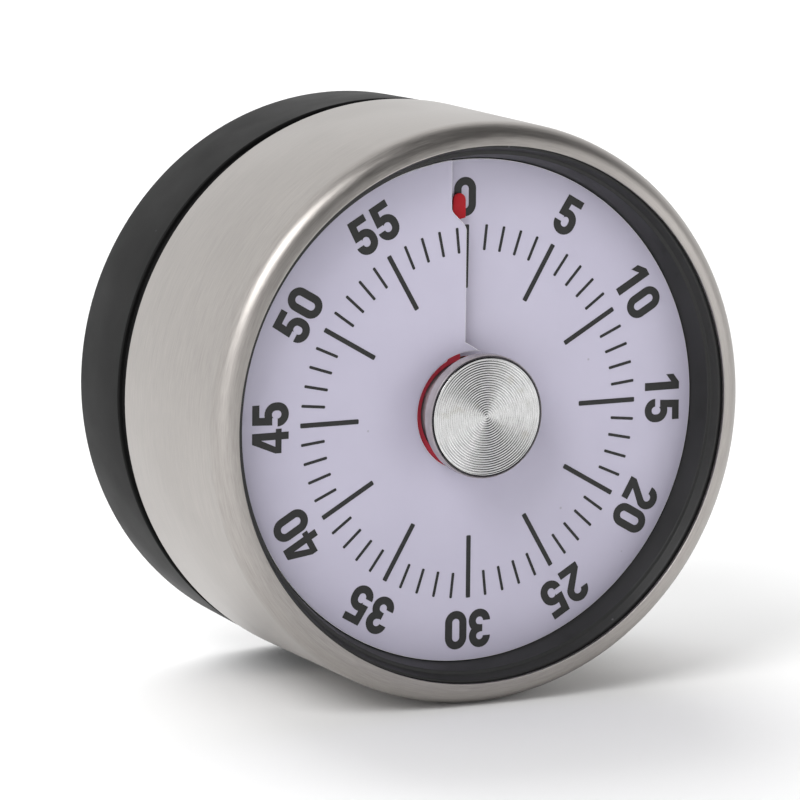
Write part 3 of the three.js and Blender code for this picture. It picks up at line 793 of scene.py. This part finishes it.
# Grotesque figures in a cell 3.3 wide and 5.4 high, each an outline and its holes.
FIGURES = {
    "0": [arc(1.65, 3.75, 1.65, 0, 180) + arc(1.65, 1.65, 1.65, 180, 360),
          arc(1.65, 3.75, 0.55, 0, 180) + arc(1.65, 1.65, 0.55, 180, 360)],
    "1": [[(2.45, 5.4), (1.45, 5.4), (0.3, 4.5), (0.3, 3.35), (1.35, 4.15), (1.35, 0),
           (2.45, 0)]],
    "2": [arc(1.65, 3.75, 1.65, 180, -30)
          + [(1.42, 1.05), (3.2, 1.05), (3.2, 0), (0.05, 0), (0.05, 0.95)]
          + arc(1.65, 3.75, 0.55, -30, 180)],
    "3": [arc(1.62, 3.78, 1.62, 180, -40) + arc(1.65, 1.65, 1.65, 38, -180)
          + arc(1.65, 1.65, 0.55, 180, 420) + [(1.5, 2.2), (1.2, 2.2), (1.2, 3.2), (1.5, 3.2)]
          + arc(1.62, 3.78, 0.52, -60, 180)],
    "4": [[(1.4, 5.4), (2.87, 5.4), (2.87, 1.9), (3.35, 1.9), (3.35, 1.05), (2.87, 1.05),
           (2.87, 0), (1.87, 0), (1.87, 1.05), (0, 1.05), (0, 1.95)],
          [(1.87, 4.07), (0.92, 1.95), (1.87, 1.95)]],
    "5": [[(3.05, 5.4), (0.35, 5.4), (0.2, 2.45), (1.2, 2.45)]
          + arc(1.65, 1.95, 0.55, 150, 0) + arc(1.65, 1.65, 0.55, 0, -180)
          + arc(1.65, 1.65, 1.65, 180, 360) + arc(1.65, 1.95, 1.65, 0, 102)
          + [(1.36, 4.35), (3.05, 4.35)]],
}
FIGURE_W, FIGURE_H, FIGURE_PITCH = 3.3, 5.4, 3.65
NUMBER_CIRCLE = 30.15


def printed(bm, loops, minute):
    """Add one printed shape, an outline and its holes in plan, to the sheet's upper face. The
    height follows the sheet at that minute's turn of the screw."""
    middle = TURN * minute / 60
    levels = []
    points = [point for loop in loops for point in loop]
    for above in (-INK, INK):
        level = []
        for x, y in points:
            off = (math.atan2(x, y) - middle + math.pi) % TURN - math.pi
            height = DIAL_ZERO + PITCH * (middle + off) / TURN + SHEET / 2
            level.append(bm.verts.new((x, y, height + above)))
        levels.append(level)
    low, high = levels
    for corners in tessellate_polygon([[Vector((x, y, 0)) for x, y in loop] for loop in loops]):
        bm.faces.new([low[i] for i in corners])
        bm.faces.new([high[i] for i in corners][::-1])
    first = 0
    for loop in loops:
        for k in range(len(loop)):
            a, b = first + (k - 1) % len(loop), first + k
            bm.faces.new([low[a], low[b], high[b], high[a]])
        first += len(loop)


def placed(outline, minute, radius):
    """A flat outline, centred on (0, 0), stood on the dial at a minute, its top outwards."""
    angle = TURN * minute / 60
    sine, cosine = math.sin(angle), math.cos(angle)
    return [(radius * sine + x * cosine + y * sine,
             radius * cosine - x * sine + y * cosine - PRINT_DROP) for x, y in outline]


def minute_marks():
    """Sixty printed bars, longer and bolder at every fifth minute."""
    bm = bmesh.new()
    for minute in range(60):
        inner, half = (FIVE_INNER, 0.335) if minute % 5 == 0 else (MINUTE_INNER, 0.2)
        length = MARK_OUTER - inner
        bar = rounded([(-half, -length / 2, 0.15), (half, -length / 2, 0.15),
                       (half, length / 2, 0.15), (-half, length / 2, 0.15)])
        if minute == 0:               # leans half under the slit's upper edge
            bar = [(x - 0.37 + 0.012 * y, y) for x, y in bar]
        printed(bm, [placed(bar, minute, (MARK_OUTER + inner) / 2)], minute)
    piece("minute_marks", bm, INK_PAINT, "case")


def dial_numbers():
    """0 to 55 in fives, each with its top outwards."""
    bm = bmesh.new()
    for minute in range(0, 60, 5):
        text = str(minute)
        for i, figure in enumerate(text):
            shift = (i - (len(text) - 1) / 2) * FIGURE_PITCH
            reach = NUMBER_CIRCLE
            if minute == 0:           # the nought stands just left of its mark, and lower
                shift -= 0.65
                reach -= 0.6
            loops = [[(x - FIGURE_W / 2 + shift, y - FIGURE_H / 2) for x, y in loop]
                     for loop in FIGURES[figure]]
            printed(bm, [placed(loop, minute, reach) for loop in loops], minute)
    piece("dial_numbers", bm, INK_PAINT, "case")


def red_disc():
    """The disc that winds out over the dial, and the small tab that shows at zero."""
    top = DIAL_ZERO + PITCH / 2
    hole = 7.2
    radii = [hole, *spread(NECK_START, DISC_NECK_END, 0.3), DISC_R]
    sheet = wound_sheet(radii, disc_edge, disc_edge, top - PITCH)
    made = piece("time_disc", sheet, RED, "red_disc", ["red_disc"], sharp=40)
    made.data.materials.append(RED)
    bm = bmesh.new()
    outline = [(-4.4, 25.4), (-2.35, 25.6), (-1.95, 26.5), (-0.95, 26.6), *arc(
        -1.9, 29.05, 0.93, 0, 180), (-2.85, 27.4), (-4.6, 27.4)]
    prism(bm, outline, top - SHEET / 2, top + SHEET / 2)
    bmesh.ops.bevel(bm, geom=list(bm.edges), offset=0.06, segments=2, affect="EDGES",
                    profile=0.6)
    piece("zero_tab", bm, RED, "red_disc")


# ---- Knob ----------------------------------------------------------------------------------

def knob():
    """The moulded knob, and its cap with concentric grooves that meet in sharp ridges."""
    stem, bore_r, neck_top = 7.05, 2.15, 46.4
    seat, recess = CAP_Z - 0.3, CAP_R + 0.13
    turned("knob_body", [
        (bore_r, KNOB_Z), (stem, KNOB_Z, 0.2), (stem, neck_top, 0.5),
        (KNOB_R - 0.4, neck_top + 0.7, 0.3), (KNOB_R, neck_top + 1.2, 0.3),
        (KNOB_R, KNOB_TOP, 0.22), (recess, KNOB_TOP, 0.08), (recess, seat, 0.05),
        (bore_r, seat),
    ], CLEAR, "knob", ["knob"], segments=160)
    rings, steps, depth, rim = 24, 5, 0.07, 0.12
    pitch = (CAP_R - rim) / rings
    face = []
    for ring in range(rings):
        for step in range(steps):
            across = step / steps
            sag = depth * 4 * across * (1 - across)
            face.append((CAP_R - rim - (ring + across) * pitch, CAP_TOP - sag))
    turned("knob_cap_spun", [
        (0, CAP_Z), (CAP_R, CAP_Z, 0.1), (CAP_R, CAP_TOP, 0.08), *face, (0, CAP_TOP),
    ], ALUMINIUM, "knob", ["knob_cap"], segments=192)


# ---- Movement ------------------------------------------------------------------------------

BRASS_NODES = ["disc_hub", "main_wheel", "second_wheel", "third_wheel", "escape_wheel",
               "strike_star", "hammer_head", "click_stud"]


def bell():
    """The nickel-plated gong behind the movement, seen through the sound slots."""
    rear, sheet, bore_r = BELL_Z, 1.0, 2.1
    turned("bell_gong", [
        (bore_r, rear, 0.2), (15.4, rear, 2.5), (19.6, rear + 1.6, 3.0),
        (21.5, rear + 5, 4.0), (BELL_R, BELL_RIM, 0.3), (BELL_R - sheet, BELL_RIM, 0.3),
        (20.5, rear + 5.2, 3.0), (18.8, rear + 2.5, 2.0), (14.9, rear + sheet, 1.5),
        (bore_r, rear + sheet, 0.2),
    ], NICKEL, "case", ["bell"], segments=160)


def movement():
    """The wheels, plates, arbors and levers keep their CAD shapes."""
    for name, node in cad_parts.items():
        if name in REPLACED:
            continue
        paint = BRASS if name in BRASS_NODES else ZINC
        if node.material_slots:
            for material_slot in node.material_slots:
                material_slot.material = paint
        else:
            node.data.materials.append(paint)


camera()
studio()
shell()
surround()
rear_cover()
magnet()
case_screws()
dial()
minute_marks()
dial_numbers()
red_disc()
knob()
bell()
movement()
